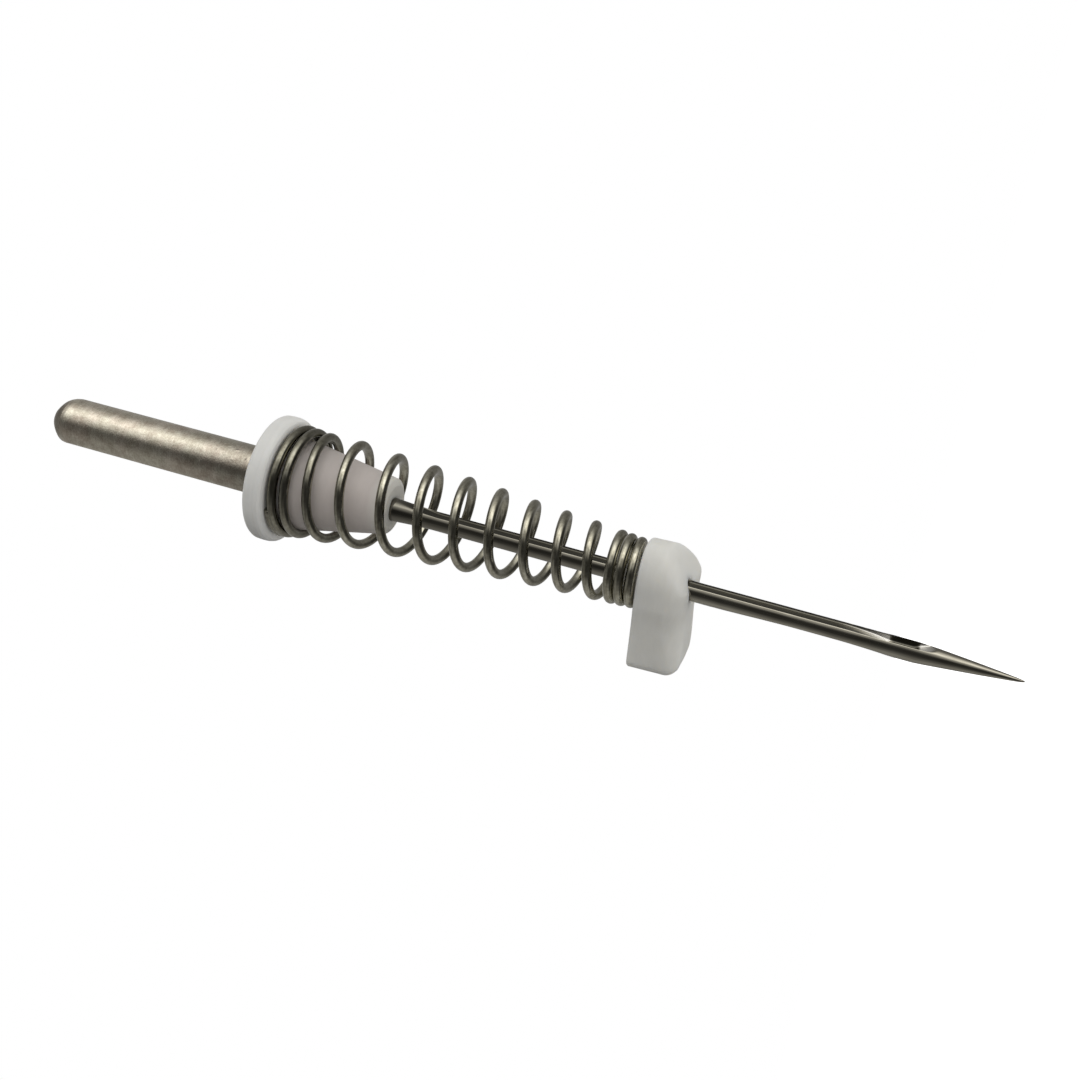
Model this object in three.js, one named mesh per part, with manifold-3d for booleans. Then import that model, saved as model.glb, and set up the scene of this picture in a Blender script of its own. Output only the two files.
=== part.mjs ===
// Sewing machine needle with its own small presser foot.
//
// A flat-shank needle carries a white moulded collar at its shoulder. A conical
// compression spring sits on the collar's hub, and its small end holds a white
// moulded foot that slides on the blade. When the needle goes down the foot
// stops on the cloth and the spring shortens; when it rises the foot holds the
// cloth down until the point is clear.
//
// Millimetres, +Z up. The needle hangs point down as it does in the machine:
// the origin is the middle of the butt end face, and s is the distance from
// there towards the point, so z = -s. +Y is the back: the shank's flat, the
// scarf and the foot's leg are on that side, the long groove is at the front.

import * as THREE from 'three';
import { mergeVertices } from 'three/addons/utils/BufferGeometryUtils.js';
import Module from 'manifold-3d';

const wasm = await Module();
wasm.setup();

// ---------------------------------------------------------------- dimensions
// needle
const NEEDLE_L = 38.4;            // butt to point
const SHANK_R = 1.0;              // shank, diameter 2.00
const FLAT_Y = 0.58;              // flat face: 1.58 across from the round side
const FLAT_END = 9.9;             // the flat ends just above the collar
const BLADE_R = 0.37;             // blade, size 75
const GROOVE_W = 0.5;             // long thread groove
const GROOVE_DEPTH = 0.18;
const GROOVE_FROM = 13.6;
const EYE_FROM = 33.85;
const EYE_TO = 34.85;
const EYE_W = 0.32;
const SCARF = [                   // hollow above the eye: distance s, face y
  [27.7, 0.38], [28.6, 0.29], [29.6, 0.225], [30.6, 0.195],
  [32.2, 0.2], [33.0, 0.235], [33.6, 0.3], [34.15, 0.4],
];
// collar
const COLLAR_TOP = 9.91;          // upper face of the flange
const FLANGE_R = 2.47;
const FLANGE_END = 10.7;          // lower face of the flange, the spring's seat
const HUB_R0 = 1.75;              // hub where it leaves the flange
const HUB_CONE = 11.45;           // the cone starts here
const HUB_R1 = 1.06;              // hub at its lower end
const HUB_END = 15.12;
const COLLAR_BORE_GAP = 0.03;
const HUB_LEAN = 0.028;           // the hub stands this much off true, per mm
const LEAN_FROM = 11.9;
// spring
const WIRE_R = 0.165;
const WIRE_SIDES = 8;
const STEPS_PER_TURN = 18;
const COILS = [                   // turn, distance s, radius of the wire's centre
  [0.1, 10.885, 2.06], [0.7, 10.93, 2.06], [1, 10.99, 2.055], [2, 11.44, 1.99], [2.5, 11.66, 1.965],
  [2.75, 11.9, 1.94], [3, 12.3, 1.92], [3.5, 12.95, 1.93], [3.78, 13.29, 1.9], [4.58, 14.58, 1.8], [6.17, 16.97, 1.66], [7.75, 19.14, 1.51],
  [9.33, 21.22, 1.36], [10.92, 23.1, 1.25], [12, 24.02, 1.175],
  [13, 24.4, 1.15], [14, 24.79, 1.12], [14.4, 24.88, 1.11],
];
const SPRING_OFF = [              // distance s, how far the coils sit off the blade's axis
  [10.8, 0.05], [12.3, 0.12], [14, 0.17], [18, 0.16], [22, 0.15], [24, 0.12], [25, 0.1],
];
const OFF_DIR = (-65 * Math.PI) / 180;   // bearing of that offset and of the hub's lean
const COIL_START = 27;            // bearing, degrees, that turn numbers count from
// foot
const FOOT_TOP = 25.055;          // upper face of the sole plate
const FOOT_T = 1.825;
const FOOT_R = 1.525;             // round end, around the blade
const LEG_W = 1.1;                // half the width of the whole foot
const LEG_L = 3.175;              // blade axis to the leg's end
const FOOT_EDGE_TOP = 0.18;
const FOOT_EDGE_TOE = 0.36;       // sole edge around the round end
const FOOT_EDGE_HEEL = 0.28;      // and at the leg's end
const TOE_RUN = 1.5;              // the sole curves up at the round end,
const TOE_RISE = 1.72;            // like a runner
const HEEL_R = 0.38;              // sole edge at the leg's end
const BOSS_R = 0.8;
const BOSS_TOP = 24.15;
const FOOT_BORE_R = 0.46;         // runs on the blade with 0.09 to spare

// ------------------------------------------------------------------- helpers
function closed(geometry) {
  geometry.deleteAttribute('normal');
  geometry.deleteAttribute('uv');
  const g = mergeVertices(geometry, 1e-4);
  const p = g.attributes.position;
  const keep = [];
  for (let i = 0; i < g.index.count; i += 3) {
    const a = g.index.getX(i), b = g.index.getX(i + 1), c = g.index.getX(i + 2);
    if (a !== b && b !== c && c !== a) keep.push(a, b, c);
  }
  let volume = 0;
  const A = new THREE.Vector3(), B = new THREE.Vector3(), C = new THREE.Vector3();
  for (let i = 0; i < keep.length; i += 3) {
    A.fromBufferAttribute(p, keep[i]);
    B.fromBufferAttribute(p, keep[i + 1]);
    C.fromBufferAttribute(p, keep[i + 2]);
    volume += A.dot(B.cross(C));
  }
  if (volume < 0) for (let i = 0; i < keep.length; i += 3) [keep[i], keep[i + 1]] = [keep[i + 1], keep[i]];
  g.setIndex(keep);
  return g;
}

function solid(geometry) {
  const g = closed(geometry);
  return new wasm.Manifold(new wasm.Mesh({
    numProp: 3,
    vertProperties: new Float32Array(g.attributes.position.array),
    triVerts: new Uint32Array(g.index.array),
  }));
}

function geometryOf(manifold) {
  const m = manifold.getMesh();
  const g = new THREE.BufferGeometry();
  g.setAttribute('position', new THREE.BufferAttribute(new Float32Array(m.vertProperties), 3));
  g.setIndex(Array.from(m.triVerts));
  g.computeVertexNormals();
  return g;
}

// a turned shape about the needle's axis, from [distance s, radius] pairs
function turned(profile, sides) {
  const points = profile.map(([s, r]) => new THREE.Vector2(r, -s));
  return new THREE.LatheGeometry(points, sides).rotateX(Math.PI / 2);
}

// a prism across X, from [distance s, y] pairs
function across(outline, width) {
  const shape = new THREE.Shape(outline.map(([s, y]) => new THREE.Vector2(y, -s)));
  const g = new THREE.ExtrudeGeometry(shape, { depth: width, bevelEnabled: false });
  g.translate(0, 0, -width / 2);
  // shape x -> world y, shape y -> world z, depth -> world x
  return g.applyMatrix4(new THREE.Matrix4().set(0, 0, 1, 0, 1, 0, 0, 0, 0, 1, 0, 0, 0, 0, 0, 1));
}

// smooth interpolation through a table of [x, value] rows (monotone cubic)
function smooth(table, column) {
  const x = table.map((row) => row[0]);
  const y = table.map((row) => row[column]);
  const n = x.length;
  const d = [];
  for (let i = 0; i < n - 1; i++) d.push((y[i + 1] - y[i]) / (x[i + 1] - x[i]));
  const m = [d[0]];
  for (let i = 1; i < n - 1; i++) {
    if (d[i - 1] * d[i] <= 0) { m.push(0); continue; }
    const h0 = x[i] - x[i - 1], h1 = x[i + 1] - x[i];
    const w0 = 2 * h1 + h0, w1 = h1 + 2 * h0;
    m.push((w0 + w1) / (w0 / d[i - 1] + w1 / d[i]));
  }
  m.push(d[n - 2]);
  return (t) => {
    let i = 0;
    while (i < n - 2 && t > x[i + 1]) i++;
    const h = x[i + 1] - x[i];
    const u = Math.min(1, Math.max(0, (t - x[i]) / h));
    const u2 = u * u, u3 = u2 * u;
    return (2 * u3 - 3 * u2 + 1) * y[i] + (u3 - 2 * u2 + u) * h * m[i]
      + (-2 * u3 + 3 * u2) * y[i + 1] + (u3 - u2) * h * m[i + 1];
  };
}

// -------------------------------------------------------------------- needle
function makeNeedle() {
  const profile = [
    [0, 0], [0, 0.45], [0.16, 0.66], [0.38, 0.86], [0.62, 0.97], [0.8, SHANK_R],
    [11.3, SHANK_R], [12.6, 0.81], [13.9, 0.62], [14.9, 0.475], [15.5, 0.425],
    [16.2, 0.385], [17, BLADE_R], [24, BLADE_R], [30, BLADE_R], [33.5, BLADE_R],
    [34, 0.382], [34.7, 0.382], [35, 0.365], [35.35, 0.337], [35.75, 0.302],
    [36.2, 0.262], [36.9, 0.197], [37.4, 0.147], [37.9, 0.096], [38.2, 0.06],
    [38.34, 0.033], [NEEDLE_L, 0],
  ];
  let body = solid(turned(profile, 40));

  // the flat on the back of the shank
  const flat = new THREE.BoxGeometry(3, 1, FLAT_END + 1);
  flat.translate(0, FLAT_Y + 0.5, -(FLAT_END - 1) / 2);
  body = body.subtract(solid(flat));

  // long groove down the front, dipping into the eye
  const floor = -BLADE_R + GROOVE_DEPTH;
  const groove = across([
    [GROOVE_FROM, -1.2], [GROOVE_FROM, -0.74], [15.6, floor - 0.21], [17.2, floor],
    [32.2, floor], [33.2, floor + 0.06], [EYE_FROM + 0.2, floor + 0.16],
    [EYE_TO - 0.2, floor + 0.16], [EYE_TO + 0.1, floor + 0.04], [35.5, -0.345], [35.5, -1.2],
  ], GROOVE_W);
  body = body.subtract(solid(groove));

  // scarf on the back, just above the eye
  const scarf = across([[SCARF[0][0], 1], ...SCARF, [SCARF[SCARF.length - 1][0], 1]], 2);
  body = body.subtract(solid(scarf));

  // the eye, a slot through the blade from front to back
  const r = EYE_W / 2;
  const eyeShape = new THREE.Shape();
  eyeShape.absarc(0, -(EYE_FROM + r), r, 0, Math.PI, false);
  eyeShape.absarc(0, -(EYE_TO - r), r, Math.PI, 2 * Math.PI, false);
  const eye = new THREE.ExtrudeGeometry(eyeShape, { depth: 2, bevelEnabled: false, curveSegments: 8 });
  eye.translate(0, 0, -1);
  // shape x -> world x, shape y -> world z, depth -> world -y
  eye.applyMatrix4(new THREE.Matrix4().set(1, 0, 0, 0, 0, 0, -1, 0, 0, 1, 0, 0, 0, 0, 0, 1));
  body = body.subtract(solid(eye));
  return geometryOf(body);
}

// -------------------------------------------------------------------- collar
function makeCollar() {
  const outer = turned([
    [COLLAR_TOP, 0], [COLLAR_TOP, FLANGE_R - 0.26], [COLLAR_TOP + 0.06, FLANGE_R - 0.11],
    [COLLAR_TOP + 0.16, FLANGE_R - 0.03], [COLLAR_TOP + 0.3, FLANGE_R],
    [FLANGE_END - 0.28, FLANGE_R], [FLANGE_END - 0.14, FLANGE_R - 0.035],
    [FLANGE_END - 0.05, FLANGE_R - 0.12], [FLANGE_END, FLANGE_R - 0.27],
    [FLANGE_END, HUB_R0], [HUB_CONE, HUB_R0 - 0.02],
    [HUB_END - 0.2, HUB_R1 + 0.04], [HUB_END - 0.1, HUB_R1 - 0.01], [HUB_END, HUB_R1 - 0.13], [HUB_END, 0],
  ], 48);
  const p = outer.attributes.position;
  for (let i = 0; i < p.count; i++) {
    const off = HUB_LEAN * Math.max(0, -p.getZ(i) - LEAN_FROM);
    p.setX(i, p.getX(i) + off * Math.cos(OFF_DIR));
    p.setY(i, p.getY(i) + off * Math.sin(OFF_DIR));
  }
  const g = COLLAR_BORE_GAP;
  const bore = turned([
    [COLLAR_TOP - 1, 0], [COLLAR_TOP - 1, SHANK_R + g], [11.32, SHANK_R + g], [12.6, 0.81 + g],
    [13.9, 0.62 + g], [14.9, 0.475 + g], [15.5, 0.425 + g], [16.5, 0.41 + g], [16.5, 0],
  ], 40);
  return geometryOf(solid(outer).subtract(solid(bore)));
}

// -------------------------------------------------------------------- spring
class Coils extends THREE.Curve {
  constructor() {
    super();
    this.s = smooth(COILS, 1);
    this.r = smooth(COILS, 2);
    this.off = smooth(SPRING_OFF, 1);
    this.from = COILS[0][0];
    this.to = COILS[COILS.length - 1][0];
  }

  getPoint(t, target = new THREE.Vector3()) {
    const turn = this.from + (this.to - this.from) * t;
    const s = this.s(turn), r = this.r(turn), off = this.off(s);
    // right-hand coil: seen from the butt it turns clockwise going down
    const a = (-90 + COIL_START) * (Math.PI / 180) - 2 * Math.PI * turn - Math.PI / 2;
    return target.set(
      r * Math.cos(a) + off * Math.cos(OFF_DIR),
      r * Math.sin(a) + off * Math.sin(OFF_DIR),
      -s,
    );
  }
}

function makeSpring() {
  const wire = new THREE.Shape();
  for (let i = 0; i < WIRE_SIDES; i++) {
    const a = ((i + 0.5) / WIRE_SIDES) * 2 * Math.PI;
    const x = WIRE_R * Math.cos(a), y = WIRE_R * Math.sin(a);
    if (i) wire.lineTo(x, y); else wire.moveTo(x, y);
  }
  wire.closePath();
  const path = new Coils();
  const steps = Math.round((path.to - path.from) * STEPS_PER_TURN);
  path.arcLengthDivisions = steps * 12;
  return closed(new THREE.ExtrudeGeometry(wire, { steps, extrudePath: path, bevelEnabled: false }));
}

// ---------------------------------------------------------------------- foot
function footOutline() {
  // plan of the sole plate: a bar with a full round end about the blade
  const pts = [];
  for (let i = 0; i <= 24; i++) {
    const a = (i / 24) * Math.PI;
    const x = Math.cos(a), y = Math.sin(a);
    pts.push([-LEG_W * Math.sign(x) * Math.abs(x) ** 0.8, -FOOT_R * Math.abs(y) ** 0.8]);
  }
  const c = 0.34;                                 // corner radius of the leg in plan
  for (let i = 0; i <= 5; i++) {
    const a = (i / 5) * (Math.PI / 2);
    pts.push([LEG_W - c + c * Math.cos(a), LEG_L - c + c * Math.sin(a)]);
  }
  for (let i = 0; i <= 5; i++) {
    const a = (i / 5) * (Math.PI / 2);
    pts.push([-LEG_W + c - c * Math.sin(a), LEG_L - c + c * Math.cos(a)]);
  }
  return pts;
}

function makeFoot() {
  const plan = footOutline();
  const n = plan.length;
  const normal = plan.map((_, i) => {
    const a = plan[(i + n - 1) % n], b = plan[(i + 1) % n];
    const l = Math.hypot(b[0] - a[0], b[1] - a[1]);
    return [(b[1] - a[1]) / l, -(b[0] - a[0]) / l];
  });
  // rings from the sole up: edge rounding below, a small one above
  const rings = [];
  const low = 5, high = 3;
  for (let k = 0; k <= low; k++) rings.push({ a: (k / low) * (Math.PI / 2), below: true });
  for (let k = high; k >= 0; k--) rings.push({ a: (k / high) * (Math.PI / 2), below: false });
  const shape = new THREE.Shape(plan.map(([x, y]) => new THREE.Vector2(x, y)));
  const plate = new THREE.ExtrudeGeometry(shape, { depth: 1, steps: rings.length - 1, bevelEnabled: false });
  const p = plate.attributes.position;
  for (let i = 0; i < p.count; i++) {
    const x = p.getX(i), y = p.getY(i);
    let j = 0, best = Infinity;
    for (let k = 0; k < n; k++) {
      const d = (plan[k][0] - x) ** 2 + (plan[k][1] - y) ** 2;
      if (d < best) { best = d; j = k; }
    }
    const ring = rings[Math.round(p.getZ(i) * (rings.length - 1))];
    const f = !ring.below ? FOOT_EDGE_TOP : plan[j][1] > LEG_L / 2 ? FOOT_EDGE_HEEL : FOOT_EDGE_TOE;
    const inset = f * (1 - Math.sin(ring.a));
    const rise = f * (1 - Math.cos(ring.a));
    p.setXYZ(
      i,
      plan[j][0] - normal[j][0] * inset,
      plan[j][1] - normal[j][1] * inset,
      ring.below ? -(FOOT_TOP + FOOT_T) + rise : -FOOT_TOP - rise,
    );
  }
  // side view: the sole is flat under the blade and the leg, curved at both ends
  const sole = FOOT_TOP + FOOT_T, toe = -FOOT_R - 0.02;
  const side = [[FOOT_TOP - 1, LEG_L + 1], [sole - HEEL_R, LEG_L + 1]];
  for (let i = 0; i <= 6; i++) {
    const a = (i / 6) * (Math.PI / 2);
    side.push([sole - HEEL_R * (1 - Math.sin(a)), LEG_L - HEEL_R * (1 - Math.cos(a))]);
  }
  for (let i = 0; i <= 12; i++) {
    const a = (i / 12) * (Math.PI / 2);
    side.push([sole - TOE_RISE * (1 - Math.cos(a)), toe + TOE_RUN * (1 - Math.sin(a))]);
  }
  side.push([sole - TOE_RISE, toe - 1], [FOOT_TOP - 1, toe - 1]);
  const body = solid(plate).intersect(solid(across(side, 4)));
  const boss = turned([
    [BOSS_TOP, 0], [BOSS_TOP, BOSS_R - 0.08], [BOSS_TOP + 0.08, BOSS_R],
    [FOOT_TOP + 0.3, BOSS_R], [FOOT_TOP + 0.3, 0],
  ], 32);
  const bore = turned([
    [BOSS_TOP - 1, 0], [BOSS_TOP - 1, FOOT_BORE_R], [FOOT_TOP + FOOT_T + 1, FOOT_BORE_R], [FOOT_TOP + FOOT_T + 1, 0],
  ], 32);
  return geometryOf(body.add(solid(boss)).subtract(solid(bore)));
}

// ------------------------------------------------------------------ assembly
function named(name, geometry, material) {
  const mesh = new THREE.Mesh(geometry, material);
  mesh.name = name;
  return mesh;
}

const nickel = new THREE.MeshStandardMaterial({ color: 0xa9a294, roughness: 0.28, metalness: 1 });
const wireSteel = new THREE.MeshStandardMaterial({ color: 0x8f8b7c, roughness: 0.2, metalness: 1 });
const whiteCollar = new THREE.MeshStandardMaterial({ color: 0xd8d6d0, roughness: 0.5, metalness: 0 });
const whiteFoot = new THREE.MeshStandardMaterial({ color: 0xd4d2cc, roughness: 0.48, metalness: 0 });

const group = new THREE.Group();
group.add(named('needle', makeNeedle(), nickel));
group.add(named('upper_collar', makeCollar(), whiteCollar));
group.add(named('spring', makeSpring(), wireSteel));
group.add(named('foot', makeFoot(), whiteFoot));

export default group;
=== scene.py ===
import math

import bmesh
import bpy
import numpy as np
from mathutils import Matrix, Vector


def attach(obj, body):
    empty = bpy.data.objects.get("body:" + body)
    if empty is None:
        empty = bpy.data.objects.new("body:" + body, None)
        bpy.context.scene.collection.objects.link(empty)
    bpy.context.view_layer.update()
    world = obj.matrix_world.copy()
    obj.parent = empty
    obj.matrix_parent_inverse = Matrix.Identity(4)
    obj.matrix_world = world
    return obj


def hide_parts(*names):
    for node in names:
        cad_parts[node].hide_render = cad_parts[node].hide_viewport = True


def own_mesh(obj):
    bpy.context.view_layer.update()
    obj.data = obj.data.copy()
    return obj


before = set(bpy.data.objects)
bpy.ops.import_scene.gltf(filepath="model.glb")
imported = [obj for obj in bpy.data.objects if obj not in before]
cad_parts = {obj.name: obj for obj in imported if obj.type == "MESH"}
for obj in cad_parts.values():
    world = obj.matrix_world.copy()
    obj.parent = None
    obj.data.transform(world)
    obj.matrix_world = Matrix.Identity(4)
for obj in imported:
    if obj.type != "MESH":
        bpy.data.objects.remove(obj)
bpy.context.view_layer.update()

MM = 0.001
scene = bpy.context.scene
scene.view_settings.view_transform = "Standard"
scene.view_settings.look = "None"

# directions of the photograph about the needle: up in the picture, and towards the camera
UP = (0.4226183, -0.9063078, 0.0)
NEAR = (-0.9063078, -0.4226183, 0.0)


# ------------------------------------------------------------------ geometry helpers
def pchip(x, y):
    """Monotone cubic through the points."""
    x, y = np.asarray(x, float), np.asarray(y, float)
    h = np.diff(x)
    d = np.diff(y) / h
    m = np.zeros(len(x))
    m[0], m[-1] = d[0], d[-1]
    for i in range(1, len(x) - 1):
        if d[i - 1] * d[i] > 0:
            w0, w1 = 2 * h[i] + h[i - 1], h[i] + 2 * h[i - 1]
            m[i] = (w0 + w1) / (w0 / d[i - 1] + w1 / d[i])

    def f(t):
        t = np.asarray(t, float)
        i = np.clip(np.searchsorted(x, t, side="right") - 1, 0, len(x) - 2)
        u = np.clip((t - x[i]) / h[i], 0, 1)
        u2, u3 = u * u, u * u * u
        return ((2 * u3 - 3 * u2 + 1) * y[i] + (u3 - 2 * u2 + u) * h[i] * m[i]
                + (-2 * u3 + 3 * u2) * y[i + 1] + (u3 - u2) * h[i] * m[i + 1])

    return f


def smax(a, b, k):
    """The larger of two surfaces, with the corner between them rounded."""
    return (a + b + np.sqrt((a - b) ** 2 + k * k)) / 2


def smin(a, b, k):
    return (a + b - np.sqrt((a - b) ** 2 + k * k)) / 2


def rounded(points, radius, steps=6):
    """A polyline with its corners rounded. points: (a, b, radius or None)."""
    out = []
    n = len(points)
    for i, p in enumerate(points):
        r = p[2] if len(p) > 2 else radius
        q = np.array(p[:2], float)
        if i in (0, n - 1) or not r:
            out.append(q)
            continue
        a, b = np.array(points[i - 1][:2], float), np.array(points[i + 1][:2], float)
        u, v = a - q, b - q
        lu, lv = np.linalg.norm(u), np.linalg.norm(v)
        u, v = u / lu, v / lv
        half = math.acos(np.clip(u @ v, -1, 1)) / 2
        if half > math.radians(88):
            out.append(q)
            continue
        t = min(r / math.tan(half), 0.48 * lu, 0.48 * lv)
        rr = t * math.tan(half)
        c = q + (u + v) / np.linalg.norm(u + v) * (rr / math.sin(half))
        p0, p1 = q + u * t, q + v * t
        a0 = math.atan2(*(p0 - c)[::-1])
        a1 = math.atan2(*(p1 - c)[::-1])
        d = (a1 - a0 + math.pi) % (2 * math.pi) - math.pi
        for k in range(steps + 1):
            w = a0 + d * k / steps
            out.append(c + rr * np.array([math.cos(w), math.sin(w)]))
    return np.array(out)


def resample(line, longest):
    """More points on the long stretches of a polyline."""
    out = [line[0]]
    for a, b in zip(line[:-1], line[1:]):
        k = max(1, int(math.ceil(np.linalg.norm(b - a) / longest)))
        out += [a + (b - a) * (j + 1) / k for j in range(k)]
    return np.array(out)


def grid_faces(rows, cols, closed_rows=False):
    j = np.arange(cols)
    jn = (j + 1) % cols
    faces = []
    last = rows if closed_rows else rows - 1
    for i in range(last):
        a, b = i * cols, ((i + 1) % rows) * cols
        faces.append(np.stack([a + j, a + jn, b + jn, b + j], 1))
    return np.concatenate(faces).tolist()


def mesh_object(name, verts, faces, sharp=38.0):
    me = bpy.data.meshes.new(name)
    me.from_pydata((np.asarray(verts) * MM).tolist(), [], faces)
    bm = bmesh.new()
    bm.from_mesh(me)
    bmesh.ops.remove_doubles(bm, verts=bm.verts, dist=2e-7)
    bmesh.ops.recalc_face_normals(bm, faces=bm.faces)
    bm.to_mesh(me)
    bm.free()
    finish_mesh(me, sharp)
    ob = bpy.data.objects.new(name, me)
    scene.collection.objects.link(ob)
    return ob


def finish_mesh(me, sharp=38.0):
    me.polygons.foreach_set("use_smooth", [True] * len(me.polygons))
    me.set_sharp_from_angle(angle=math.radians(sharp))
    me.update()


def coordinates(me):
    co = np.empty(len(me.vertices) * 3, np.float32)
    me.vertices.foreach_get("co", co)
    return co.reshape(-1, 3).astype(float) / MM


def attribute(me, name, values):
    a = me.attributes.get(name) or me.attributes.new(name, "FLOAT", "POINT")
    a.data.foreach_set("value", np.asarray(values, np.float32))


# ------------------------------------------------------------------ node helpers
class Nodes:
    def __init__(self, tree):
        self.tree = tree
        tree.nodes.clear()

    def add(self, kind, **props):
        n = self.tree.nodes.new(kind)
        for k, v in props.items():
            setattr(n, k, v)
        return n

    def link(self, a, b):
        self.tree.links.new(a, b)

    def put(self, socket, value):
        if isinstance(value, bpy.types.NodeSocket):
            self.link(value, socket)
        elif value is not None:
            socket.default_value = value

    def math(self, op, a, b=None, c=None, clamp=False):
        n = self.add("ShaderNodeMath", operation=op, use_clamp=clamp)
        for i, v in enumerate((a, b, c)):
            if v is not None:
                self.put(n.inputs[i], v)
        return n.outputs[0]

    def vmath(self, op, a, b=None):
        n = self.add("ShaderNodeVectorMath", operation=op)
        self.put(n.inputs[0], a)
        if b is not None:
            self.put(n.inputs[1], b)
        return n.outputs["Value"] if op in ("DOT_PRODUCT", "LENGTH") else n.outputs["Vector"]

    def scale(self, vector, factors):
        n = self.add("ShaderNodeMapping")
        self.link(vector, n.inputs["Vector"])
        n.inputs["Scale"].default_value = factors
        return n.outputs["Vector"]

    def ramp(self, value, stops, interpolation="LINEAR"):
        n = self.add("ShaderNodeValToRGB")
        r = n.color_ramp
        r.interpolation = interpolation
        while len(r.elements) > 1:
            r.elements.remove(r.elements[-1])
        for i, (p, c) in enumerate(stops):
            e = r.elements[0] if i == 0 else r.elements.new(p)
            e.position = p
            e.color = (c, c, c, 1) if isinstance(c, (int, float)) else (*c, 1)
        self.put(n.inputs["Fac"], value)
        return n.outputs["Color"]

    def mix(self, factor, a, b, blend="MIX"):
        n = self.add("ShaderNodeMix", data_type="RGBA", blend_type=blend)
        self.put(n.inputs[0], factor)
        self.put(n.inputs[6], a)
        self.put(n.inputs[7], b)
        return n.outputs[2]

    def noise(self, vector, scale, detail=2.0, rough=0.5, distortion=0.0):
        n = self.add("ShaderNodeTexNoise", noise_dimensions="3D")
        self.link(vector, n.inputs["Vector"])
        n.inputs["Scale"].default_value = scale
        n.inputs["Detail"].default_value = detail
        n.inputs["Roughness"].default_value = rough
        n.inputs["Distortion"].default_value = distortion
        return n.outputs["Fac"]

    def map(self, value, a, b, c, d):
        n = self.add("ShaderNodeMapRange")
        self.put(n.inputs["Value"], value)
        for k, v in zip(("From Min", "From Max", "To Min", "To Max"), (a, b, c, d)):
            n.inputs[k].default_value = v
        return n.outputs["Result"]

    def bump(self, height, strength, distance, normal=None):
        n = self.add("ShaderNodeBump")
        n.inputs["Strength"].default_value = strength
        n.inputs["Distance"].default_value = distance
        self.link(height, n.inputs["Height"])
        if normal is not None:
            self.link(normal, n.inputs["Normal"])
        return n.outputs["Normal"]


def material(name):
    m = bpy.data.materials.new(name)
    m.use_nodes = True
    g = Nodes(m.node_tree)
    shader = g.add("ShaderNodeBsdfPrincipled")
    out = g.add("ShaderNodeOutputMaterial")
    g.link(shader.outputs[0], out.inputs["Surface"])
    coords = g.add("ShaderNodeTexCoord").outputs["Object"]
    mm = g.scale(coords, (1000, 1000, 1000))
    return m, g, shader, mm


# ------------------------------------------------------------------ materials
def steel_shank():
    m, g, shader, mm = material("steel_shank")
    xyz = g.add("ShaderNodeSeparateXYZ")
    g.link(mm, xyz.inputs[0])
    s = g.math("MULTIPLY", xyz.outputs["Z"], -1.0)
    bearing = g.math("ARCTAN2", xyz.outputs["Y"], xyz.outputs["X"])

    def unrolled(along_arc, along_s, skew):
        """The shank's surface laid flat and stretched, so a noise on it gives marks with a direction."""
        c = g.add("ShaderNodeCombineXYZ")
        g.link(g.math("MULTIPLY", bearing, along_arc), c.inputs["X"])
        g.link(g.math("MULTIPLY_ADD", bearing, skew, g.math("MULTIPLY", s, along_s)), c.inputs["Y"])
        return c.outputs[0]

    hoops = g.noise(unrolled(1.2, 15.0, 0.8), 1.6, 3.0, 0.65)       # grinding marks round the shank
    slant = g.noise(unrolled(1.6, 10.0, 9.0), 2.0, 2.0, 0.6)        # and scratches across them
    mottle = g.noise(mm, 2.3, 4.0, 0.62)
    grain = g.noise(mm, 11.0, 3.0, 0.65)
    tone = g.math("ADD", g.math("MULTIPLY", hoops, 0.25),
                  g.math("ADD", g.math("MULTIPLY", mottle, 0.45), g.math("MULTIPLY", grain, 0.30)))
    along = g.ramp(g.map(s, 0.0, 11.0, 0.0, 1.0),
                   [(0.0, 0.90), (0.05, 1.0), (0.5, 1.0), (0.66, 0.86), (0.8, 0.74), (1.0, 0.66)])
    base = g.ramp(tone, [(0.38, (0.43, 0.375, 0.31)), (0.5, (0.60, 0.555, 0.475)), (0.6, (0.74, 0.70, 0.61))])
    warm = g.noise(mm, 1.3, 2.0, 0.5)
    base = g.mix(g.map(warm, 0.42, 0.62, 0.0, 0.55), base, (0.97, 0.985, 0.93, 1), "MULTIPLY")
    base = g.mix(g.map(warm, 0.55, 0.38, 0.0, 0.5), base, (1.0, 0.93, 0.90, 1), "MULTIPLY")
    base = g.mix(1.0, base, along, "MULTIPLY")
    g.link(base, shader.inputs["Base Color"])
    shader.inputs["Metallic"].default_value = 1.0
    g.link(g.map(tone, 0.34, 0.66, 0.29, 0.17), shader.inputs["Roughness"])
    # handling marks, closest together by the collar
    cell = g.add("ShaderNodeTexVoronoi", feature="F1")
    g.link(g.scale(mm, (1.0, 1.0, 0.75)), cell.inputs["Vector"])
    cell.inputs["Scale"].default_value = 3.4
    cell.inputs["Randomness"].default_value = 1.0
    dent = g.ramp(cell.outputs["Distance"], [(0.0, 0.0), (0.16, 0.75), (0.34, 1.0)])
    where = g.math("MULTIPLY", g.map(s, 5.2, 8.6, 0.0, 1.0), g.map(mottle, 0.46, 0.56, 0.0, 1.0))
    dents = g.math("MULTIPLY", g.math("SUBTRACT", 1.0, dent), where)
    height = g.math("ADD", g.math("MULTIPLY", hoops, 0.5), g.math("MULTIPLY", slant, 0.5))
    n1 = g.bump(height, 0.28, 0.00002)
    n2 = g.bump(g.math("ADD", grain, mottle), 0.30, 0.00002, n1)
    n3 = g.bump(dents, 0.55, 0.00004, n2)
    g.link(n3, shader.inputs["Normal"])
    return m


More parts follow.
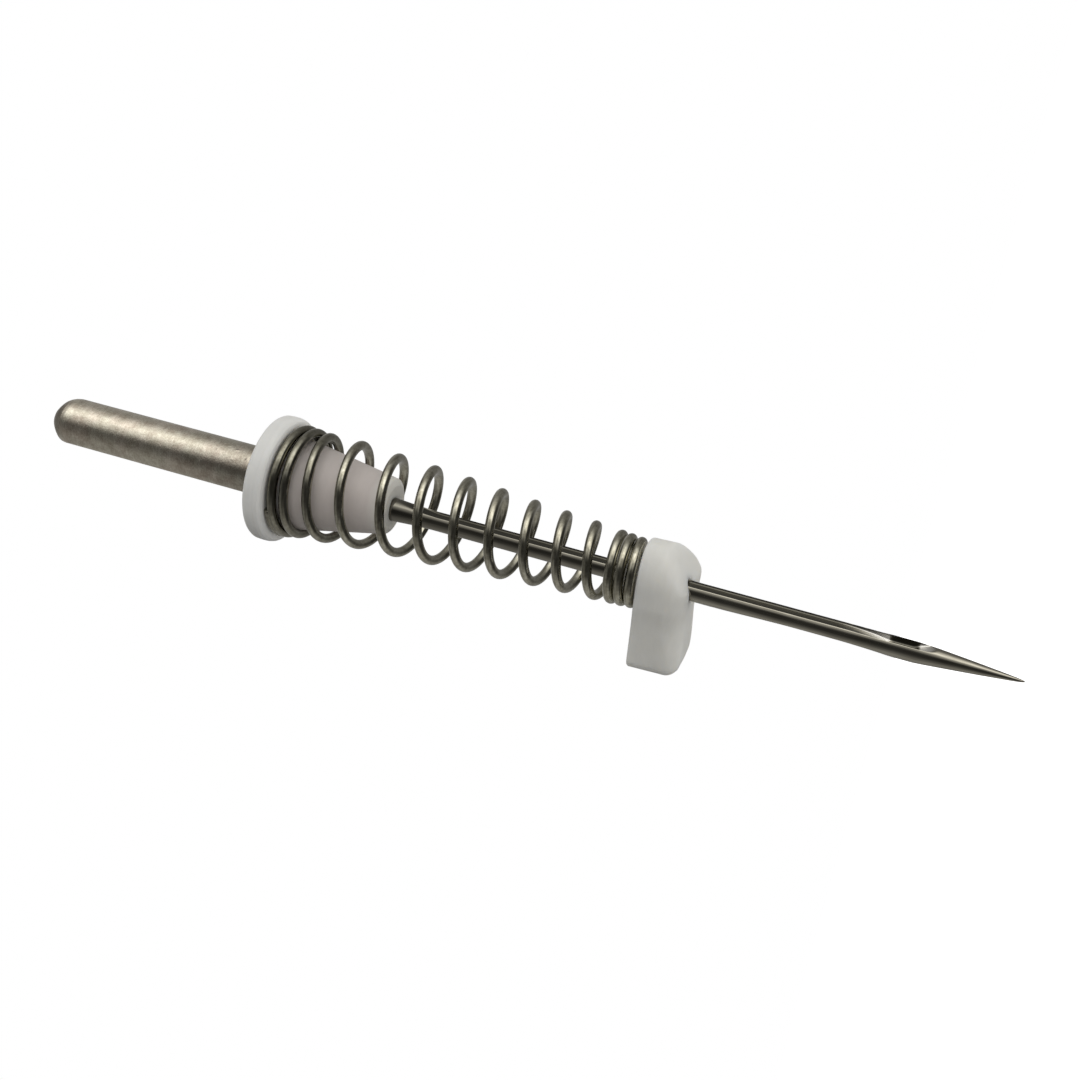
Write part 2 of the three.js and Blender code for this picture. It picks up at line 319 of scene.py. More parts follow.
def steel_blade():
    m, g, shader, mm = material("steel_blade")
    xyz = g.add("ShaderNodeSeparateXYZ")
    g.link(mm, xyz.inputs[0])
    streaks = g.noise(g.scale(mm, (22.0, 22.0, 0.9)), 1.0, 3.0, 0.6)
    cloud = g.noise(mm, 1.1, 2.0, 0.5)
    groove = g.add("ShaderNodeAttribute", attribute_name="groove").outputs["Fac"]
    base = g.ramp(g.math("ADD", g.math("MULTIPLY", streaks, 0.6), g.math("MULTIPLY", cloud, 0.4)),
                  [(0.38, (0.26, 0.245, 0.205)), (0.62, (0.35, 0.335, 0.285))])
    # the groove painted dark: the steel's oxide there, with painted shade for the recess
    base = g.mix(groove, base, (0.12, 0.115, 0.095, 1))
    # painted shade: the blade darkened up inside the spring, for the shade and dark reflection of the coils
    along = g.ramp(g.map(xyz.outputs["Z"], -13.0, -29.0, 0.0, 1.0),
                   [(0.0, 0.50), (0.15, 0.50), (0.23, 0.66), (0.46, 0.70), (0.7, 0.85), (0.95, 1.0)])
    base = g.mix(1.0, base, along, "MULTIPLY")
    # painted highlight: pale matt steel beside the eye's mouths, for the glints off their rounded edges
    painted_eye_glint = g.add("ShaderNodeAttribute", attribute_name="painted_eye_glint").outputs["Fac"]
    base = g.mix(painted_eye_glint, base, (0.88, 0.87, 0.84, 1))
    g.link(base, shader.inputs["Base Color"])
    shader.inputs["Metallic"].default_value = 1.0
    rough = g.map(streaks, 0.3, 0.7, 0.06, 0.12)
    rough = g.math("ADD", rough, g.math("MULTIPLY", groove, 0.2))
    g.link(g.math("ADD", rough, g.math("MULTIPLY", painted_eye_glint, 0.36)), shader.inputs["Roughness"])
    g.link(g.bump(streaks, 0.12, 0.000008), shader.inputs["Normal"])
    return m


def steel_wire():
    m, g, shader, mm = material("steel_wire")
    streak = g.noise(g.scale(mm, (1.0, 1.0, 9.0)), 1.4, 3.0, 0.6)
    speck = g.noise(mm, 7.0, 3.0, 0.65)
    tone = g.math("ADD", g.math("MULTIPLY", streak, 0.55), g.math("MULTIPLY", speck, 0.45))
    base = g.ramp(tone, [(0.36, (0.24, 0.225, 0.175)), (0.5, (0.38, 0.365, 0.295)), (0.64, (0.52, 0.505, 0.43))])
    xyz = g.add("ShaderNodeSeparateXYZ")
    g.link(mm, xyz.inputs[0])
    along = g.ramp(g.map(xyz.outputs["Z"], -10.8, -13.8, 0.0, 1.0), [(0.0, 0.62), (0.4, 0.68), (1.0, 1.0)])
    g.link(g.mix(1.0, base, along, "MULTIPLY"), shader.inputs["Base Color"])     # painted shade: darker where the close coils seat on the collar
    shader.inputs["Metallic"].default_value = 1.0
    g.link(g.map(tone, 0.34, 0.66, 0.13, 0.05), shader.inputs["Roughness"])
    g.link(g.bump(speck, 0.15, 0.00001), shader.inputs["Normal"])
    return m


def white_plastic(name, low, high, scatter, depth, hub=None):
    m, g, shader, mm = material(name)
    cloud = g.noise(mm, 0.55, 3.0, 0.5)
    grain = g.noise(mm, 13.0, 3.0, 0.6)
    flow = g.noise(g.scale(mm, (1.0, 1.0, 3.5)), 1.3, 2.0, 0.5, 0.4)
    tone = g.math("ADD", g.math("MULTIPLY", cloud, 0.7), g.math("MULTIPLY", flow, 0.3))
    base = g.ramp(tone, [(0.36, low), (0.64, high)])
    if hub:                              # painted shade: the hub darkened where the coils shade it, with a pinkish cast painted in for reflected steel
        xyz = g.add("ShaderNodeSeparateXYZ")
        g.link(mm, xyz.inputs[0])
        along = g.ramp(g.map(xyz.outputs["Z"], -10.0, -16.0, 0.0, 1.0),
                       [(0.0, (1, 1, 1)), (0.10, (1, 1, 1)), (0.24, tuple(0.90 * v for v in hub)),
                        (0.38, tuple(0.93 * v for v in hub)), (0.55, hub), (0.74, hub), (0.83, (1.0, 0.98, 0.94))])
        base = g.mix(1.0, base, along, "MULTIPLY")
    g.link(base, shader.inputs["Base Color"])
    g.link(g.map(grain, 0.3, 0.7, 0.52, 0.40), shader.inputs["Roughness"])
    shader.inputs["Specular IOR Level"].default_value = 0.32
    shader.inputs["Subsurface Weight"].default_value = scatter
    shader.inputs["Subsurface Radius"].default_value = (1.0, 0.95, 0.85)
    shader.inputs["Subsurface Scale"].default_value = depth
    fine = g.bump(grain, 0.16, 0.00002)
    g.link(g.bump(flow, 0.25, 0.00003, fine), shader.inputs["Normal"])
    return m


SHANK = steel_shank()
BLADE = steel_blade()
WIRE = steel_wire()
# the collar's last colour is the hub's painted shade and painted pinkish reflection
COLLAR = white_plastic("plastic_collar", (0.70, 0.695, 0.675), (0.77, 0.765, 0.745), 0.35, 0.00035, (0.795, 0.73, 0.71))
FOOT = white_plastic("plastic_foot", (0.68, 0.672, 0.64), (0.74, 0.732, 0.70), 0.7, 0.0008)

# ------------------------------------------------------------------ needle
NEEDLE_L = 38.4
PROFILE = [
    (0.8, 1.0), (5.0, 1.0), (11.3, 1.0), (12.6, 0.81), (13.9, 0.62), (14.9, 0.475), (15.5, 0.425),
    (16.2, 0.385), (17, 0.37), (25, 0.37), (33.5, 0.37), (34, 0.382), (34.7, 0.382), (35, 0.365),
    (35.35, 0.337), (35.75, 0.302), (36.2, 0.262), (36.9, 0.197), (37.4, 0.147), (37.9, 0.096),
    (38.2, 0.06), (38.34, 0.033), (38.4, 0.012),
]
BUTT = [(0.0, 0.0), (0.0, 0.16), (0.0, 0.32), (0.0, 0.45), (0.06, 0.56), (0.16, 0.665), (0.27, 0.77), (0.38, 0.86),
        (0.5, 0.925), (0.62, 0.968), (0.8, 1.0)]
SCARF = [(27.7, 0.38), (28.6, 0.29), (29.6, 0.225), (30.6, 0.195), (32.2, 0.2), (33.0, 0.235), (33.6, 0.3),
         (34.15, 0.4)]
GROOVE = [(8.0, -1.87), (14.2, -0.62), (15.6, -0.40), (17.2, -0.19), (25, -0.19), (32.2, -0.19), (33.2, -0.13),
          (34.05, -0.03), (34.65, -0.03), (34.95, -0.15), (35.5, -0.345), (38.5, -1.5)]


def needle_section(s, radius, count_front=72, count_back=120):
    """One closed loop across the needle at distance s."""
    wx = min(0.31, 0.8 * radius)
    t = np.linspace(-1, 1, count_front)
    x = wx * (0.75 * t + 0.25 * np.sin(t * math.pi / 2))
    y = -np.sqrt(np.maximum(radius * radius - x * x, 0))
    cut = float(groove_floor(s)) - 1.0 * np.abs(x / 0.315) ** 9
    y = smax(y, cut, 0.022)
    aw = math.asin(min(1.0, wx / radius))
    a = np.linspace(aw, 2 * math.pi - aw, count_back + 2)[1:-1]
    bx, by = radius * np.sin(a), -radius * np.cos(a)
    if s <= 9.9:
        by = smin(by, 0.58, 0.03)
    elif SCARF[0][0] < s < SCARF[-1][0]:
        by = smin(by, float(scarf_face(s)), 0.03)
    return np.concatenate([x, bx]), np.concatenate([y, by])


groove_floor = pchip([p[0] for p in GROOVE], [p[1] for p in GROOVE])
scarf_face = pchip([p[0] for p in SCARF], [p[1] for p in SCARF])
radius_at = pchip([p[0] for p in PROFILE], [p[1] for p in PROFILE])

rows = []
butt = resample(np.array(BUTT[1:]), 0.05)
for s, r in butt[:-1]:
    rows.append((s, r))
for a, b, step in ((0.8, 9.8, 0.12), (9.8, 9.99, 0.019), (9.99, 16.5, 0.1), (16.5, 27.6, 0.12), (27.6, 33.6, 0.06),
                   (33.6, 35.2, 0.025), (35.2, 38.4, 0.04)):
    n = int(round((b - a) / step))
    for k in range(n):
        s = a + (b - a) * k / n
        rows.append((s, float(radius_at(s))))
rows.append((NEEDLE_L - 0.006, 0.016))
verts = []
for s, r in rows:
    x, y = needle_section(s, r)
    if s < 0.8:                      # the butt's dome is cut by the flat as well
        y = np.minimum(y, 0.58)
    verts.append(np.stack([x, y, np.full(len(x), -s)], 1))
cols = len(verts[0])
verts.append(np.array([[0, 0, 0], [0, 0, -NEEDLE_L]]))
faces = grid_faces(len(rows), cols)
top, tip = len(rows) * cols, len(rows) * cols + 1
faces += [[top, (j + 1) % cols, j] for j in range(cols)]
base = (len(rows) - 1) * cols
faces += [[tip, base + j, base + (j + 1) % cols] for j in range(cols)]
needle = mesh_object("needle_steel", np.concatenate(verts), faces)

# the eye: a slot with softened mouths, through from the groove to the scarf
def slot_cutter():
    loops = []
    for y, grow in ((-0.60, 0.10), (-0.34, 0.055), (-0.20, 0.02), (-0.10, 0.0), (0.08, 0.0), (0.2, 0.02), (0.32, 0.06),
                    (0.6, 0.12)):
        r = 0.16 + grow * 0.6
        lo, hi = 33.85 + 0.16 - grow, 34.85 - 0.16 + grow
        pts = []
        for k in range(20):
            a = math.pi * k / 19
            pts.append((r * math.cos(a), y, -(hi + r * math.sin(a))))
        for k in range(20):
            a = math.pi + math.pi * k / 19
            pts.append((r * math.cos(a), y, -(lo + r * math.sin(a))))
        loops.append(pts)
    n = len(loops[0])
    v = [p for loop in loops for p in loop]
    f = grid_faces(len(loops), n)
    f += [list(range(n)), list(range((len(loops) - 1) * n, len(loops) * n))]
    return mesh_object("eye_cutter", np.array(v), f)


cutter = slot_cutter()
cut = needle.modifiers.new("eye", "BOOLEAN")
cut.operation, cut.solver, cut.object = "DIFFERENCE", "EXACT", cutter
bpy.context.view_layer.update()
whole = bpy.data.meshes.new_from_object(needle.evaluated_get(bpy.context.evaluated_depsgraph_get()))
needle.modifiers.clear()
needle.data = whole
bpy.data.objects.remove(cutter)
finish_mesh(whole, 34.0)
whole.materials.clear()
whole.materials.append(SHANK)
whole.materials.append(BLADE)
co = coordinates(whole)
s = -co[:, 2]
rad = np.hypot(co[:, 0], co[:, 1])
full = np.interp(s, [p[0] for p in PROFILE], [p[1] for p in PROFILE])
# mask for the groove's painted shade: how far a point lies below the full round
deep = np.clip((full - rad - 0.006) / 0.05, 0, 1) * (co[:, 1] < 0) * (s > 12)
clear = np.interp(s, [32.0, 33.0, 33.93, 33.97, 34.8, 34.9], [0, 0.8, 0.9, 0.0, 0.0, 1.0])  # painted highlight: the groove's painted shade is lifted before the eye and past it
attribute(whole, "groove", deep * deep * (3 - 2 * deep) * (1 - clear))
# painted highlight: where the groove meets the eye's mouths, for their glints
beside = np.interp(s, [32.2, 32.8, 33.82, 33.9, 34.84, 34.9, 35.2, 35.5], [0, 0.15, 1, 0, 0, 1.0, 0.8, 0])
attribute(whole, "painted_eye_glint", beside * deep * deep * (3 - 2 * deep))
centre_s = np.array([-p.center.z / MM for p in whole.polygons])
whole.polygons.foreach_set("material_index", (centre_s > 12.5).astype(np.int32))

# ------------------------------------------------------------------ upper collar
OFF = math.radians(-65)
OFF_X, OFF_Y = math.cos(OFF), math.sin(OFF)


def turned(name, line, sides=168, lean=None):
    """A closed turned shape from a closed (s, radius) line."""
    a = np.linspace(0, 2 * math.pi, sides, endpoint=False)
    verts = []
    for s, r in line:
        verts.append(np.stack([r * np.cos(a), r * np.sin(a), np.full(sides, -s)], 1))
    v = np.concatenate(verts)
    if lean is not None:
        off = lean[0] * np.maximum(0, -v[:, 2] - lean[1])
        keep = np.repeat(np.asarray(lean[2], float), sides)
        v[:, 0] += off * keep * OFF_X
        v[:, 1] += off * keep * OFF_Y
        # and the flange sits a little lower on the near side
        v[:, 2] -= 0.026 * (v[:, 0] * NEAR[0] + v[:, 1] * NEAR[1]) * keep * np.clip((12.4 + v[:, 2]) / 1.5, 0, 1)
    return mesh_object(name, v, grid_faces(len(line), sides, closed_rows=True), 50.0)


outer = resample(rounded([
    (9.91, 1.03), (9.91, 2.30, 0.0), (9.95, 2.42, 0.05), (10.03, 2.465, 0.04), (10.25, 2.475, 0.1), (10.42, 2.47, 0.1),
    (10.56, 2.435, 0.06), (10.65, 2.35, 0.05), (10.70, 2.20, 0.0), (10.70, 1.76, 0.06), (11.4, 1.74, 0.4),
    (15.0, 1.085, 0.12), (15.12, 0.85, 0.04), (15.12, 0.475)], 0.05, 7), 0.12)
inner = resample(np.array([(15.08, 0.458), (14.9, 0.478), (13.9, 0.65), (12.6, 0.84), (11.32, 1.03),
                           (9.98, 1.03)]), 0.2)
line = np.concatenate([outer, inner])
flags = [1.0] * len(outer) + [0.0] * len(inner)
collar = turned("collar_plastic", line, 176, (0.028, 11.9, flags))
collar.data.materials.append(COLLAR)

# ------------------------------------------------------------------ spring
WIRE_R = 0.182
COILS = [(0.1, 10.885, 2.06), (0.7, 10.93, 2.06), (1, 10.99, 2.055), (2, 11.44, 1.99), (2.5, 11.66, 1.965),
         (2.75, 11.9, 1.94), (3, 12.3, 1.92), (3.5, 12.95, 1.93), (3.78, 13.29, 1.90), (4.58, 14.58, 1.80), (6.17, 16.97, 1.66), (7.75, 19.14, 1.51),
         (9.33, 21.22, 1.36), (10.92, 23.1, 1.25), (11.7, 23.90, 1.195), (12, 24.03, 1.185), (12.7, 24.28, 1.165),
         (13, 24.40, 1.16), (13.7, 24.67, 1.14), (14, 24.81, 1.13), (14.4, 24.88, 1.12)]
SPRING_OFF = [(10.8, 0.05), (12.3, 0.12), (14, 0.17), (18, 0.16), (22, 0.15), (24, 0.12), (25, 0.10)]
coil_s = pchip([c[0] for c in COILS], [c[1] for c in COILS])
coil_r = pchip([c[0] for c in COILS], [c[2] - 0.012 for c in COILS])
coil_off = pchip([c[0] for c in SPRING_OFF], [c[1] for c in SPRING_OFF])


def coil_point(turn):
    s, r = coil_s(turn), coil_r(turn)
    off = coil_off(s)
    a = math.radians(-90 + 27) - 2 * math.pi * turn - math.pi / 2
    return np.stack([r * np.cos(a) + off * OFF_X, r * np.sin(a) + off * OFF_Y, -s], -1)


def wire(name, t0, t1, blunt0, blunt1, sides=26, steps=84):
    n = max(8, int(round((t1 - t0) * steps)))
    turns = np.linspace(t0, t1, n + 1)
    p = coil_point(turns)
    e = 1e-4
    tangent = coil_point(turns + e) - coil_point(turns - e)
    tangent[0] = coil_point(turns[0] + 2 * e) - coil_point(turns[0])
    tangent[-1] = coil_point(turns[-1]) - coil_point(turns[-1] - 2 * e)
    tangent /= np.linalg.norm(tangent, axis=1)[:, None]
    out = p.copy()
    out[:, 2] = 0
    normal = out - tangent * (out * tangent).sum(1)[:, None]
    normal /= np.linalg.norm(normal, axis=1)[:, None]
    binormal = np.cross(tangent, normal)
    rings = []

    def ring(i, radius, shift):
        a = np.linspace(0, 2 * math.pi, sides, endpoint=False)
        rings.append(p[i] + tangent[i] * shift
                     + radius * (np.cos(a)[:, None] * normal[i] + np.sin(a)[:, None] * binormal[i]))

    b = 0.035                            # cut ends of the wire are a little dressed
    if blunt0:
        for k in range(4):
            w = k / 4 * math.pi / 2
            ring(0, WIRE_R - b + b * math.sin(w), -b * math.cos(w) + b)
        first = 1
    else:
        first = 0
    lo = first
    hi = n if blunt1 else n + 1
    step = 0
    for i in range(lo, hi):
        ring(i, WIRE_R, 0)
        step += 1
    if blunt1:
        for k in range(3, -1, -1):
            w = k / 4 * math.pi / 2
            ring(n, WIRE_R - b + b * math.sin(w), b * math.cos(w) - b)
    v = np.concatenate(rings)
    f = grid_faces(len(rings), sides)
    c0, c1 = len(v), len(v) + 1
    v = np.concatenate([v, [rings[0].mean(0), rings[-1].mean(0)]])
    f += [[c0, (j + 1) % sides, j] for j in range(sides)]
    last = (len(rings) - 1) * sides
    f += [[c1, last + j, last + (j + 1) % sides] for j in range(sides)]
    ob = mesh_object(name, v, f, 45.0)
    ob.data.materials.append(WIRE)
    return ob


CUT_UP, CUT_DOWN = 2.72, 12.06
coil_collar = wire("spring_seat_coils", 0.1, CUT_UP, True, False)
coil_active = wire("spring_active_coils", CUT_UP, CUT_DOWN, False, False)
coil_foot = wire("spring_foot_coils", CUT_DOWN, 14.4, False, True)

# ------------------------------------------------------------------ foot
FOOT_TOP, SOLE = 25.055, 26.89
END_R, LEG_W, LEG_L = 1.525, 1.1, 3.13    # round end, half the width, end of the leg
CORNER = 0.25
TOP_EDGE = 0.11
TOE_FROM, TOE_SLOPE = -0.13, 0.60        # the sole slopes up to the round end
NEAR_BULGE, FAR_BULGE = 1.17, 1.66         # half widths of the round end
HEEL_RUN, HEEL_RISE = 0.60, 0.40          # and is rounded at the end of the leg
BOSS_R, BOSS_TOP, BORE_R, BORE_UP = 0.76, 24.5, 0.395, 0.46
ASKEW = (1.9, 0.2)                       # degrees the foot hangs askew on the blade: leg up, near side down


def ease(v, a, b):
    u = np.clip((v - a) / (b - a), 0, 1)
    return u * u * (3 - 2 * u)


def half_width(y, bulge, fade):
    """Half the foot's width at y, from the round end about the blade to the straight leg."""
    y = np.asarray(y, float)
    back = np.where(y > 0, fade, END_R)
    end = bulge * np.sqrt(np.clip(1 - (y / back) ** 2, 0, 1))
    leg = LEG_W * ease(y, -1.0, 0.6)
    return np.where(y < -0.9, end, smax(end, leg, 0.16 * ease(y, -0.9, 0.6)))


def leg_end(x):
    """The leg's end is a little convex."""
    return 0.17 * (1 - np.clip(x / LEG_W, -1, 1) ** 2)


def foot_plan():
    """A bar with a round end about the blade, a little wider than the bar."""
    pts = []
    c = CORNER
    ys = -END_R * np.cos(np.linspace(0, math.pi / 2, 60))
    ys = np.concatenate([ys, np.linspace(0, LEG_L - c, 60)[1:]])
    for y, x in zip(ys, half_width(ys, FAR_BULGE, 1.0)):
        pts.append((x, y))
    for i in range(1, 14):
        a = i / 13 * math.pi / 2
        pts.append((LEG_W - c + c * math.cos(a), LEG_L - c + c * math.sin(a)))
    for i in range(14):
        a = i / 13 * math.pi / 2
        pts.append((-LEG_W + c - c * math.sin(a), LEG_L - c + c * math.cos(a)))
    for y, x in list(zip(ys, half_width(ys, NEAR_BULGE, 1.9)))[:0:-1]:
        pts.append((-x, y))
    pts = np.array(pts)
    pts[:, 1] += leg_end(pts[:, 0]) * ease(pts[:, 1], 2.4, LEG_L)
    return pts


plan = foot_plan()
dense = []
for a, b in zip(plan, np.roll(plan, -1, 0)):
    k = max(1, int(np.linalg.norm(b - a) / 0.02))
    dense += [a + (b - a) * j / k for j in range(k)]
dense = np.array(dense)
# bearings about the blade, from points spaced evenly along the edge
lengths = np.concatenate([[0], np.cumsum(np.linalg.norm(np.diff(dense, axis=0), axis=1))])
COLS = 220
at = np.linspace(0, lengths[-1], COLS, endpoint=False)
edge = np.stack([np.interp(at, lengths, dense[:, 0]), np.interp(at, lengths, dense[:, 1])], 1)
for _ in range(2):
    edge = (np.roll(edge, 1, 0) + 2 * edge + np.roll(edge, -1, 0)) / 4
reach = np.linalg.norm(edge, axis=1)
way = edge / reach[:, None]


def edge_distance(p):
    d = np.full(len(p), 1e9)
    for a, b in zip(edge, np.roll(edge, -1, 0)):
        ab = b - a
        t = np.clip(((p - a) @ ab) / (ab @ ab), 0, 1)
        d = np.minimum(d, np.linalg.norm(p - a - t[:, None] * ab, axis=1))
    return d


def round_off(d, f):
    u = np.clip(1 - d / f, 0, 1)
    return f * (1 - np.sqrt(1 - u * u))


def sled(p):
    y = p[:, 1]
    lift = smax(0, TOE_SLOPE * (TOE_FROM - y), 0.06)
    w = np.clip((y - (LEG_L + leg_end(p[:, 0]) - HEEL_RUN)) / (HEEL_RUN + 0.02), 0, 1)
    thicker = 0.07 * ease(y, 0.8, 2.4)
    return np.maximum(lift, HEEL_RISE * (1 - (1 - w ** 2.4) ** (1 / 2.4))) - thicker


def low_fillet(p):
    """Radius of the sole's edge: softest on the near side."""
    far = ease(p[:, 0], -0.6, 0.7)
    front = 0.2 + 0.3 * ease(-p[:, 1], 0.5, 1.2)
    toe = 0.75 + (front - 0.75) * far
    side = 0.80 - 0.40 * ease(p[:, 1], 1.3, 2.9)
    leg = side + (0.24 - side) * far
    return toe + (leg - toe) * ease(p[:, 1], 0.2, 1.6)


def sole_z(p, d):
    a, b = round_off(d, low_fillet(p)), sled(p)
    both = np.power(a ** 1.9 + np.maximum(b, 0) ** 1.9, 1 / 1.9) + np.minimum(b, 0)
    return np.minimum(-SOLE + both, -FOOT_TOP - TOP_EDGE - 0.04)


def top_z(p, d):
    return -FOOT_TOP - round_off(d, TOP_EDGE)


def ring_at(distance):
    """Points a given way in from the edge, towards the blade."""
    return way * (reach - distance)[:, None]


foot_rings = []


def put(p, z):
    foot_rings.append(np.stack([p[:, 0], p[:, 1], z], 1))


zeros = np.zeros(COLS)
# bore, then out over the sole
for r, z in ((BORE_UP, -FOOT_TOP + 0.2), (BORE_UP, -FOOT_TOP - 0.5), (BORE_UP, -SOLE + 0.85), (BORE_R, -SOLE + 0.6)):
    put(way * r, np.full(COLS, z))
for k in range(5):
    a = k / 4 * math.pi / 2
    p = way * (BORE_R + 0.07 * (1 - math.cos(a)))
    put(p, sole_z(p, edge_distance(p)) + 0.07 * (1 - math.sin(a)))
for u in (0.05, 0.12, 0.2, 0.3, 0.4, 0.5, 0.6, 0.7, 0.8, 0.9):
    start, stop = BORE_R + 0.07, reach - 0.8
    stop = np.maximum(stop, start + 0.05)
    p = way * (start + (stop - start) * u)[:, None]
    put(p, sole_z(p, edge_distance(p)))
for k in range(15):
    d = 0.8 * (1 - math.sin(k / 15 * math.pi / 2))
    inner_limit = np.maximum(reach - d, BORE_R + 0.12)
    p = way * inner_limit[:, None]
    put(p, sole_z(p, edge_distance(p)))
z_low = sole_z(edge, zeros)
put(edge, z_low)
z_high = top_z(edge, zeros)
z_low = np.minimum(z_low, z_high - 0.05)
for u in (0.2, 0.4, 0.6, 0.8):
    put(edge, z_low + (z_high - z_low) * u)
put(edge, z_high)
for k in range(1, 9):
    d = TOP_EDGE * (1 - math.cos(k / 8 * math.pi / 2))
    p = ring_at(d)
    put(p, top_z(p, edge_distance(p)))
for u in np.linspace(0.04, 0.94, 24):
    start, stop = reach - TOP_EDGE, BOSS_R + 0.12
    p = way * (start + (stop - start) * u)[:, None]
    put(p, top_z(p, edge_distance(p)))
for k in range(6):                       # fillet up to the boss
    a = k / 5 * math.pi / 2
    r = BOSS_R + 0.1 * (1 - math.sin(a))
    put(way * r, np.full(COLS, -FOOT_TOP + 0.1 * (1 - math.cos(a))))
put(way * BOSS_R, np.full(COLS, -24.75))
for k in range(6):
    a = k / 5 * math.pi / 2
    put(way * (BOSS_R - 0.09 * (1 - math.cos(a))), np.full(COLS, -BOSS_TOP - 0.09 * (1 - math.sin(a))))
put(way * 0.55, np.full(COLS, -BOSS_TOP))
for k in range(4):
    a = k / 3 * math.pi / 2
    put(way * (BORE_UP + 0.05 * (1 - math.sin(a))), np.full(COLS, -BOSS_TOP - 0.05 * (1 - math.cos(a))))
# the foot hangs a little askew on the blade, as far as its bore lets it
foot_points = np.concatenate(foot_rings)
pivot = np.array([0, 0, -26.7])
tilt = (Matrix.Rotation(math.radians(ASKEW[0]), 3, Vector(NEAR))
        @ Matrix.Rotation(math.radians(ASKEW[1]), 3, Vector(UP)))
foot_points = (foot_points - pivot) @ np.array(tilt).T + pivot
foot = mesh_object("foot_plastic", foot_points, grid_faces(len(foot_rings), COLS, closed_rows=True), 50.0)
foot.data.materials.append(FOOT)

# ------------------------------------------------------------------ the frame's bodies
for ob, body, node, slot in (
        (needle, "needle", "needle", "needle_steel"), (collar, "needle", "upper_collar", "collar_plastic"),
        (coil_collar, "needle", "spring", "spring_wire"), (coil_active, "needle", "spring", "spring_wire"),
        (coil_foot, "foot", "spring", "spring_wire"), (foot, "foot", "foot", "foot_plastic")):
    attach(ob, body)
    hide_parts(node)
coil_active.visible_glossy = False
z_up, z_down = float(coil_point(np.array(CUT_UP))[2]) * MM, float(coil_point(np.array(CUT_DOWN))[2]) * MM
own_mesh(coil_active)

# ------------------------------------------------------------------ floor, light, camera
def plain_floor():
    me = bpy.data.meshes.new("floor")
    half = 3.0
    n = 12
    v = [((i / n - 0.5) * 2 * half, (j / n - 0.5) * 2 * half, -0.085) for i in range(n + 1) for j in range(n + 1)]
    f = [[i * (n + 1) + j, (i + 1) * (n + 1) + j, (i + 1) * (n + 1) + j + 1, i * (n + 1) + j + 1]
         for i in range(n) for j in range(n)]
    me.from_pydata(v, [], f)
    ob = bpy.data.objects.new("floor", me)
    scene.collection.objects.link(ob)
    m = bpy.data.materials.new("floor_white")
    m.use_nodes = True
    g = Nodes(m.node_tree)
    shader = g.add("ShaderNodeBsdfPrincipled")
    out = g.add("ShaderNodeOutputMaterial")
    g.link(shader.outputs[0], out.inputs["Surface"])
    shader.inputs["Base Color"].default_value = (0.9, 0.9, 0.9, 1)
    shader.inputs["Roughness"].default_value = 0.9
    shader.inputs["Emission Color"].default_value = (1, 1, 1, 1)
    shader.inputs["Emission Strength"].default_value = 0.95
    me.materials.append(m)
    ob.visible_diffuse = False
    ob.visible_glossy = False
    return ob


plain_floor()

world = bpy.data.worlds.new("studio")
scene.world = world
world.use_nodes = True
w = Nodes(world.node_tree)
direction = w.add("ShaderNodeTexCoord").outputs["Generated"]
d_up = w.vmath("DOT_PRODUCT", direction, UP)
d_near = w.vmath("DOT_PRODUCT", direction, NEAR)
turn = w.math("ARCTAN2", d_near, d_up)
share = w.math("MULTIPLY_ADD", turn, 1 / (2 * math.pi), 0.5)
# what polished metal mirrors: a soft lamp above, a dark room in front and below; it opens out higher up
MIRRORED = [(-180, 0.46), (-165, 0.48), (-140, 0.40), (-110, 0.28), (-75, 0.22), (-40, 0.22), (-20, 0.28), (-5, 0.46),
            (10, 0.95), (25, 1.75), (38, 2.35), (49, 1.95), (58, 0.85), (70, 0.55), (78, 0.30), (86, 0.10), (98, 0.05),
            (122, 0.06), (138, 0.13), (152, 0.23), (166, 0.34), (180, 0.46)]
MIRRORED_HIGH = [(-180, 0.29), (-150, 0.34), (-110, 0.40), (-75, 0.36), (-40, 0.34), (-20, 0.34), (-5, 0.5), (10, 0.85),
                 (25, 1.28), (38, 1.6), (50, 1.36), (62, 1.02), (74, 0.66), (84, 0.30), (92, 0.12), (101, 0.10),
                 (115, 0.13), (130, 0.19), (145, 0.27), (160, 0.30), (180, 0.29)]
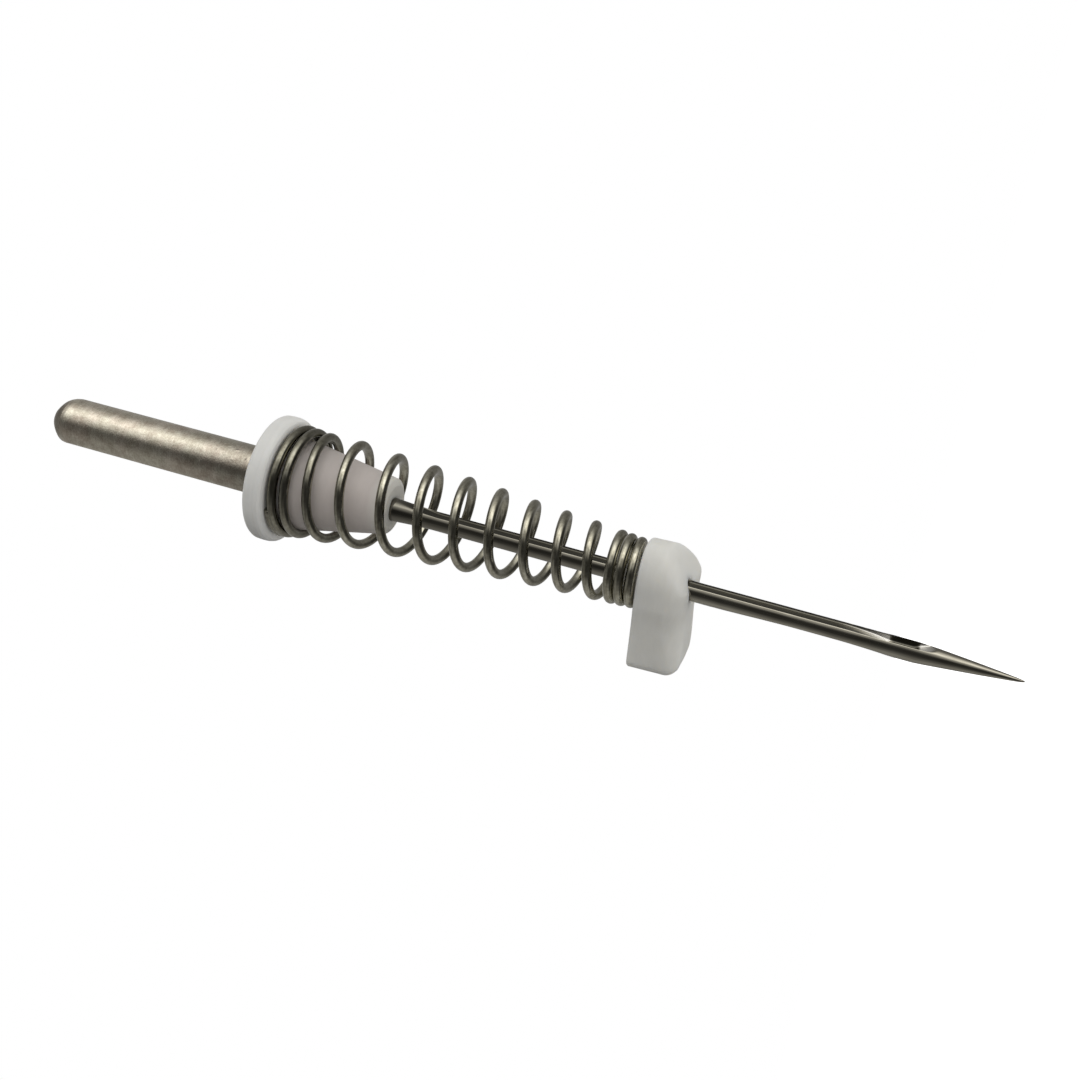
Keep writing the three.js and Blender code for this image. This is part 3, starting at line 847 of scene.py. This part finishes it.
# the light that falls on matt surfaces
FALLING = [(-180, 0.05), (-120, 0.20), (-60, 0.70), (-20, 0.92), (20, 0.99), (55, 1.01), (90, 0.81), (110, 0.70),
           (130, 0.27), (155, 0.04), (180, 0.05)]
FALLING_END = [(-180, 0.55), (-120, 0.95), (-60, 1.5), (0, 1.7), (60, 1.5), (105, 0.95), (135, 0.5), (180, 0.55)]
PEAK = 2.4
TINT = (1.0, 0.98, 0.94)
path = w.add("ShaderNodeLightPath")


def band(stops, tint):
    return w.ramp(share, [((a + 180) / 360, tuple(v / PEAK * c for c in tint)) for a, v in stops])


axes = w.add("ShaderNodeSeparateXYZ")
w.link(direction, axes.inputs[0])
height = w.map(axes.outputs["Z"], 0.22, 0.48, 0.0, 1.0)
mirrored = w.mix(height, band(MIRRORED, TINT), band(MIRRORED_HIGH, TINT))
# both ends of the room, along the needle, are dim and even
point_end = w.map(axes.outputs["Z"], -0.45, -0.75, 0.0, 1.0)
mirrored = w.mix(point_end, mirrored, tuple(0.06 / PEAK * c for c in TINT) + (1,))
butt_end = w.map(axes.outputs["Z"], 0.68, 0.92, 0.0, 1.0)
mirrored = w.mix(butt_end, mirrored, tuple(0.15 / PEAK * c for c in TINT) + (1,))
falling = band(FALLING, (1.0, 1.0, 0.985))
falling = w.mix(w.map(axes.outputs["Z"], -0.3, -0.85, 0.0, 1.0), falling, band(FALLING_END, (1.0, 1.0, 0.98)))
light = w.mix(path.outputs["Is Glossy Ray"], falling, mirrored)
seen = w.mix(path.outputs["Is Camera Ray"], light, (1 / PEAK, 1 / PEAK, 1 / PEAK, 1))
sky = w.add("ShaderNodeBackground")
w.link(seen, sky.inputs["Color"])
sky.inputs["Strength"].default_value = PEAK
wo = w.add("ShaderNodeOutputWorld")
w.link(sky.outputs[0], wo.inputs["Surface"])

cam_data = bpy.data.cameras.new("camera")
cam = bpy.data.objects.new("camera", cam_data)
scene.collection.objects.link(cam)
forward = Vector((0.84324133, 0.468922, 0.26278548)).normalized()
up = Vector((0.40890773, -0.87690546, 0.25264853)).normalized()
right = forward.cross(up).normalized()
up = right.cross(forward).normalized()
rot = Matrix((right, up, -forward)).transposed()
cam.matrix_world = Matrix.Translation(Vector((-39.94858, -22.59456, -33.48382)) * MM) @ rot.to_4x4()
cam_data.sensor_width = 36.0
cam_data.lens = 43.11
cam_data.clip_start = 0.001
cam_data.clip_end = 20.0
scene.camera = cam
